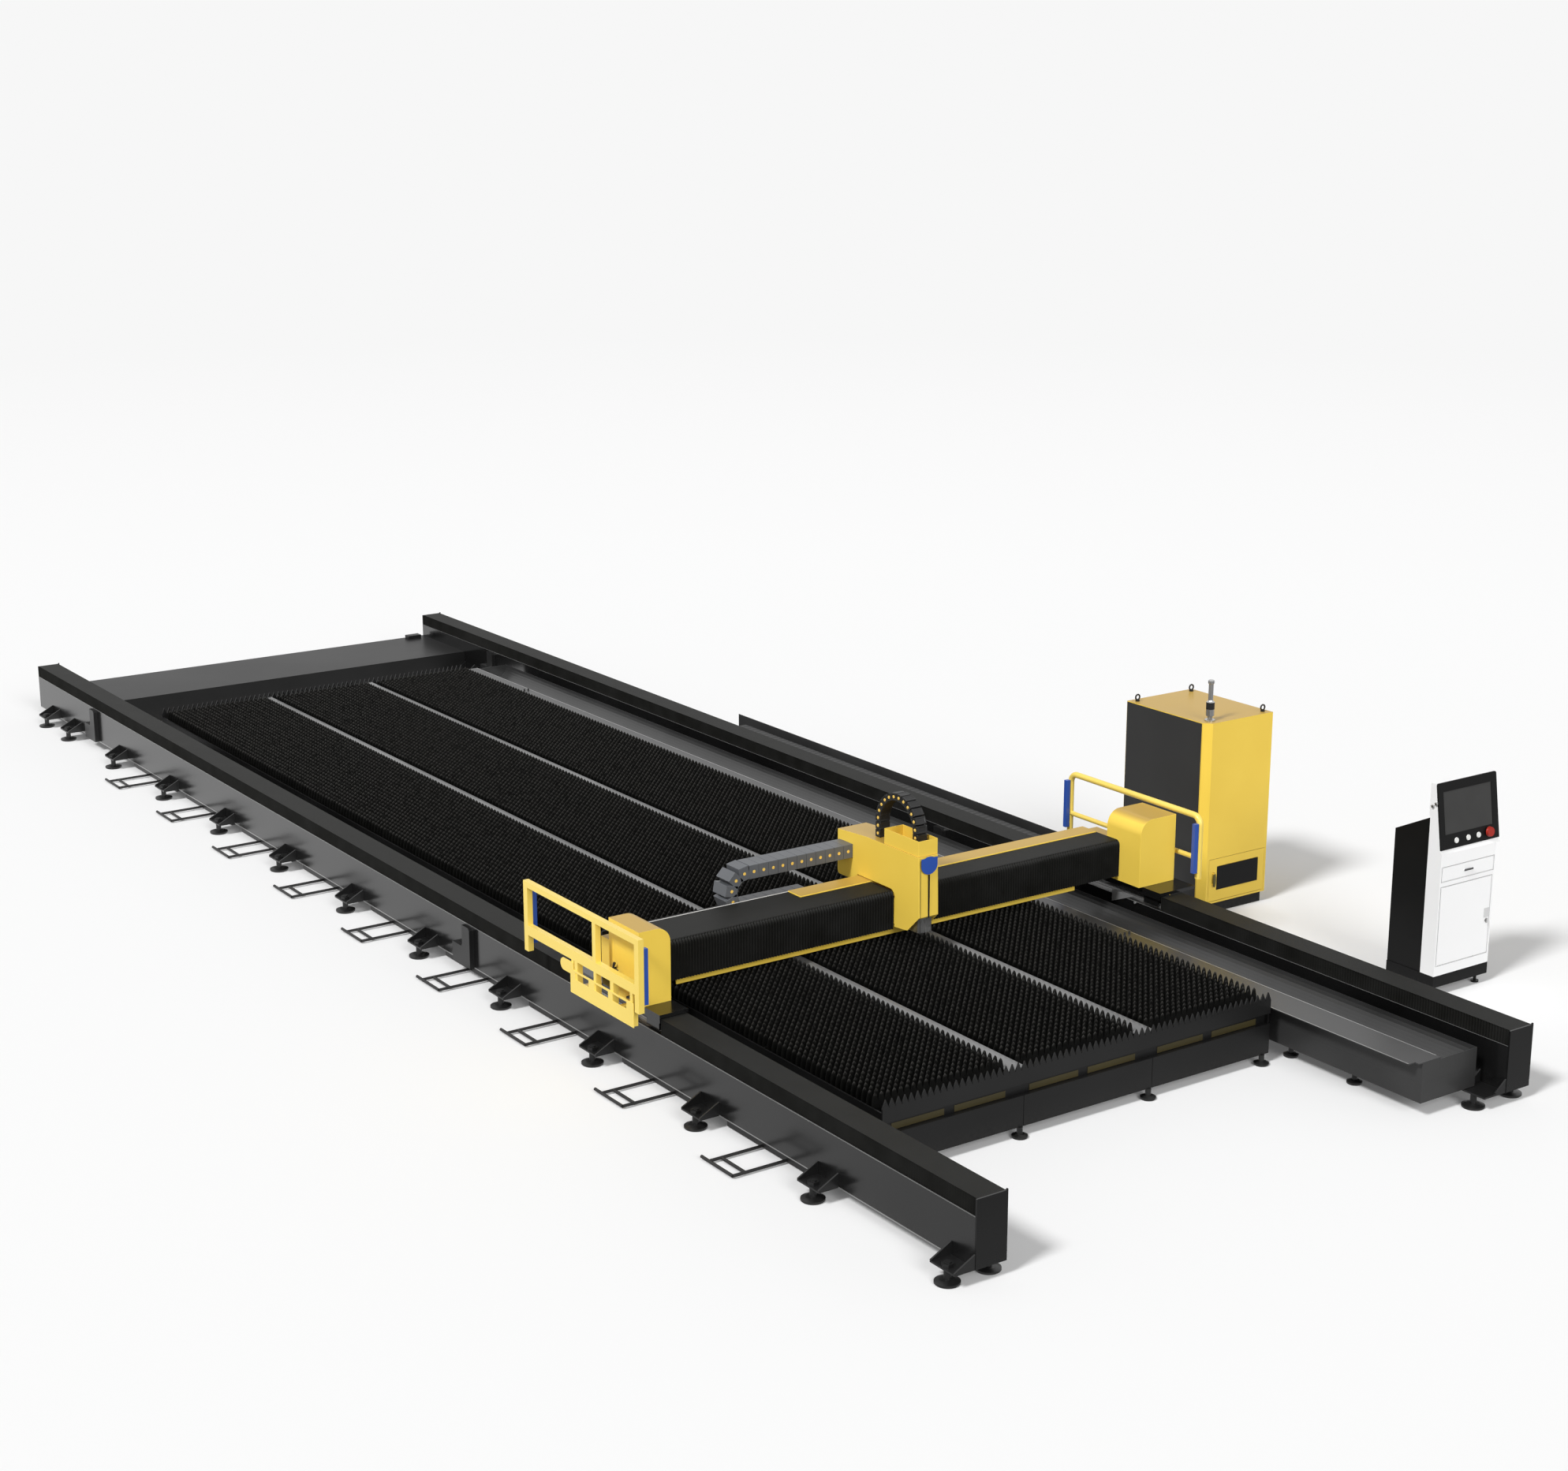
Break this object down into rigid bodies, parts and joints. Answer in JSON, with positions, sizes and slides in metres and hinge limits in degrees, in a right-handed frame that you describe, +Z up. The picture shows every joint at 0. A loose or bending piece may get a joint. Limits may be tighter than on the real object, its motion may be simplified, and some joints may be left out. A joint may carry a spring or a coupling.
{
  "type": "laser cutting machine",
  "caption": "Long gantry laser cutting machine with a slatted bed, slag drawers, folded rail covers, drag chains, a control cabinet and an operator console.",
  "frame": {"origin": "bottom centre of the whole machine's box, on the workshop floor", "axes": "+X across the bed towards the cabinet and console, +Y along the rails away from the operator, +Z up"},
  "size_m": [6.709, 15.9, 1.967],
  "materials": {
    "dark_paint": "satin",
    "foot_paint": "satin",
    "guide_steel": "brushed",
    "cover_fabric": "matte",
    "slat_steel": "rough",
    "grey_sheet": "satin",
    "chain_grey": "matte",
    "chain_black": "matte",
    "yellow_paint": "satin",
    "black_paint": "satin",
    "white_paint": "satin",
    "bright_steel": "brushed",
    "curtain_blue": "satin",
    "screen_glass": "gloss",
    "button_white": "gloss",
    "button_black": "gloss",
    "stop_red": "gloss"
  },
  "bodies": {
    "bed_and_rails": {"rail_beams": "dark_paint", "rail_end_plates": "dark_paint", "rail_guides": "guide_steel", "front_rail_bellows": "cover_fabric", "rear_rail_bellows": "cover_fabric", "foot_brackets": "foot_paint", "levelling_feet": "foot_paint", "bed_walls": "dark_paint", "slats_left": "slat_steel", "slats_middle": "slat_steel", "slats_right": "slat_steel", "tooth_plates": "dark_paint", "divider_strips": "grey_sheet", "rear_cover": "dark_paint", "suction_duct": "grey_sheet", "chain_trough": "grey_sheet", "y_drag_chain": "chain_grey", "cabinet_shell": "yellow_paint", "cabinet_plinth": "black_paint", "signal_mast": "bright_steel", "console_base": "black_paint", "console_column": "black_paint", "console_housing": "white_paint", "screen_bezel": "black_paint", "screen": "screen_glass"},
    "gantry": {"gantry_beam": "yellow_paint", "saddles": "dark_paint", "left_housing": "yellow_paint", "right_motor_cover": "yellow_paint", "guards": "yellow_paint", "light_curtains": "curtain_blue", "beam_bellows": "cover_fabric", "x_drag_chain": "chain_grey", "chain_tray": "dark_paint", "x_guides": "guide_steel"},
    "carriage": {"carriage_body": "yellow_paint", "z_box": "yellow_paint", "z_drag_chain": "chain_black"},
    "head": {"z_slide": "bright_steel", "cutting_head": "button_black"},
    "slag_drawer_1": {"slag_drawer_1": "dark_paint"},
    "slag_drawer_2": {"slag_drawer_2": "dark_paint"},
    "slag_drawer_3": {"slag_drawer_3": "dark_paint"},
    "slag_drawer_4": {"slag_drawer_4": "dark_paint"},
    "slag_drawer_5": {"slag_drawer_5": "dark_paint"},
    "slag_drawer_6": {"slag_drawer_6": "dark_paint"},
    "slag_drawer_7": {"slag_drawer_7": "dark_paint"},
    "slag_drawer_8": {"slag_drawer_8": "dark_paint"},
    "slag_drawer_9": {"slag_drawer_9": "dark_paint"},
    "cabinet_door": {"cabinet_door": "yellow_paint"},
    "console_door": {"console_door": "white_paint"},
    "console_lock": {"console_lock": "bright_steel"},
    "keyboard_drawer": {"keyboard_drawer": "white_paint"},
    "cabinet_estop": {"cabinet_estop": "stop_red"},
    "cabinet_button_1": {"cabinet_button_1": "button_black"},
    "cabinet_button_2": {"cabinet_button_2": "button_black"},
    "console_button_1": {"console_button_1": "button_white"},
    "console_button_2": {"console_button_2": "button_white"},
    "console_button_3": {"console_button_3": "button_white"},
    "console_estop": {"console_estop": "stop_red"}
  },
  "joints": [
    {"name": "gantry_travel", "type": "slide", "parent": "bed_and_rails", "child": "gantry", "axis": [0, 1, 0], "range_m": [-2.2, 9.6], "deforming": ["front_rail_bellows", "rear_rail_bellows", "y_drag_chain"]},
    {"name": "carriage_travel", "type": "slide", "parent": "gantry", "child": "carriage", "axis": [1, 0, 0], "range_m": [-1.9, 1.4], "deforming": ["beam_bellows", "x_drag_chain"]},
    {"name": "head_travel", "type": "slide", "parent": "carriage", "child": "head", "axis": [0, 0, 1], "range_m": [-0.06, 0.12], "deforming": ["z_drag_chain"]},
    {"name": "slag_drawer_1_slide", "type": "slide", "parent": "bed_and_rails", "child": "slag_drawer_1", "axis": [-1, 0, 0], "range_m": [0, 3.4]},
    {"name": "slag_drawer_2_slide", "type": "slide", "parent": "bed_and_rails", "child": "slag_drawer_2", "axis": [-1, 0, 0], "range_m": [0, 3.4]},
    {"name": "slag_drawer_3_slide", "type": "slide", "parent": "bed_and_rails", "child": "slag_drawer_3", "axis": [-1, 0, 0], "range_m": [0, 3.4]},
    {"name": "slag_drawer_4_slide", "type": "slide", "parent": "bed_and_rails", "child": "slag_drawer_4", "axis": [-1, 0, 0], "range_m": [0, 3.4]},
    {"name": "slag_drawer_5_slide", "type": "slide", "parent": "bed_and_rails", "child": "slag_drawer_5", "axis": [-1, 0, 0], "range_m": [0, 3.4]},
    {"name": "slag_drawer_6_slide", "type": "slide", "parent": "bed_and_rails", "child": "slag_drawer_6", "axis": [-1, 0, 0], "range_m": [0, 3.4]},
    {"name": "slag_drawer_7_slide", "type": "slide", "parent": "bed_and_rails", "child": "slag_drawer_7", "axis": [-1, 0, 0], "range_m": [0, 3.4]},
    {"name": "slag_drawer_8_slide", "type": "slide", "parent": "bed_and_rails", "child": "slag_drawer_8", "axis": [-1, 0, 0], "range_m": [0, 3.4]},
    {"name": "slag_drawer_9_slide", "type": "slide", "parent": "bed_and_rails", "child": "slag_drawer_9", "axis": [-1, 0, 0], "range_m": [0, 3.4]},
    {"name": "cabinet_door_hinge", "type": "hinge", "parent": "bed_and_rails", "child": "cabinet_door", "pos_m": [3.2765, -3.931, 0.112], "axis": [0, 0, 1], "range_deg": [0, 110]},
    {"name": "console_door_hinge", "type": "hinge", "parent": "bed_and_rails", "child": "console_door", "pos_m": [2.7405, -6.275, 0.248], "axis": [0, 0, -1], "range_deg": [0, 110]},
    {"name": "console_lock_turn", "type": "hinge", "parent": "console_door", "child": "console_lock", "pos_m": [3.2545, -6.282, 0.51], "axis": [0, -1, 0], "range_deg": [0, 90]},
    {"name": "keyboard_drawer_slide", "type": "slide", "parent": "bed_and_rails", "child": "keyboard_drawer", "axis": [0, -1, 0], "range_m": [0, 0.23]},
    {"name": "cabinet_estop_press", "type": "slide", "parent": "bed_and_rails", "child": "cabinet_estop", "axis": [-1, 0, 0], "range_m": [0, 0.005]},
    {"name": "cabinet_button_1_press", "type": "slide", "parent": "bed_and_rails", "child": "cabinet_button_1", "axis": [-1, 0, 0], "range_m": [0, 0.003], "stiffness_N_per_m": 500},
    {"name": "cabinet_button_2_press", "type": "slide", "parent": "bed_and_rails", "child": "cabinet_button_2", "axis": [-1, 0, 0], "range_m": [0, 0.003], "stiffness_N_per_m": 500},
    {"name": "console_button_1_press", "type": "slide", "parent": "bed_and_rails", "child": "console_button_1", "axis": [0, 0.989, -0.1478], "range_m": [0, 0.003], "stiffness_N_per_m": 500},
    {"name": "console_button_2_press", "type": "slide", "parent": "bed_and_rails", "child": "console_button_2", "axis": [0, 0.989, -0.1478], "range_m": [0, 0.003], "stiffness_N_per_m": 500},
    {"name": "console_button_3_press", "type": "slide", "parent": "bed_and_rails", "child": "console_button_3", "axis": [0, 0.989, -0.1478], "range_m": [0, 0.003], "stiffness_N_per_m": 500},
    {"name": "console_estop_press", "type": "slide", "parent": "bed_and_rails", "child": "console_estop", "axis": [0, 0.989, -0.1478], "range_m": [0, 0.006]}
  ]
}
